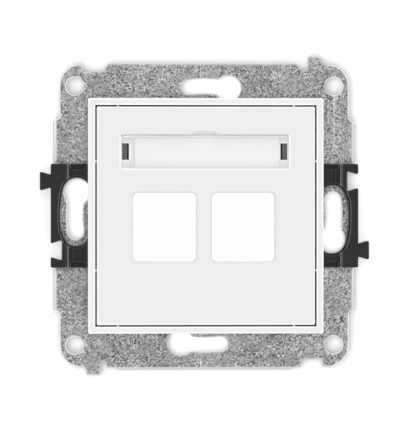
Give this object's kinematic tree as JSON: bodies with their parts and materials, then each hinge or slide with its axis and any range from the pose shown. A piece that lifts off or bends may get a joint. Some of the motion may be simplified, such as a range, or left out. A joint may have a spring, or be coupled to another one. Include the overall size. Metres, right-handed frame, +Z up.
{
  "type": "keystone insert",
  "caption": "Flush wall-box insert for keystone jacks: steel support plate with dovetail couplers, square trim ring, centre plate with ports and a windowed label.",
  "frame": {"origin": "centre of the four corner holes, on the rear face of the support plate", "axes": "-Y out of the wall towards the viewer, +Z up the wall, +X to the viewer's right"},
  "size_m": [0.0762, 0.0118, 0.0736],
  "materials": {
    "galvanised_steel": "galvanised, with a fine spangle",
    "black_plastic": "satin moulded black",
    "white_plastic": "smooth white, half gloss",
    "white_paper": "uncoated white paper",
    "clear_plastic": "clear moulded plastic",
    "plated_screw": "bright zinc plated"
  },
  "bodies": {
    "mechanism": {"support_plate": "galvanised_steel", "coupler_left": "black_plastic", "coupler_right": "black_plastic", "keystone_carrier": "black_plastic", "trim_ring": "white_plastic", "carrier_screw_1": "plated_screw", "carrier_screw_2": "plated_screw", "carrier_screw_3": "plated_screw", "carrier_screw_4": "plated_screw"},
    "centre_plate": {"centre_plate": "white_plastic", "label_strip": "white_paper"},
    "label_window": {"label_window": "clear_plastic"}
  },
  "joints": [
    {"name": "centre_plate_pull", "type": "slide", "parent": "mechanism", "child": "centre_plate", "axis": [0, -1, 0], "range_m": [0, 0.02]},
    {"name": "label_window_pull", "type": "slide", "parent": "centre_plate", "child": "label_window", "axis": [0, -1, 0], "range_m": [0, 0.01]}
  ]
}
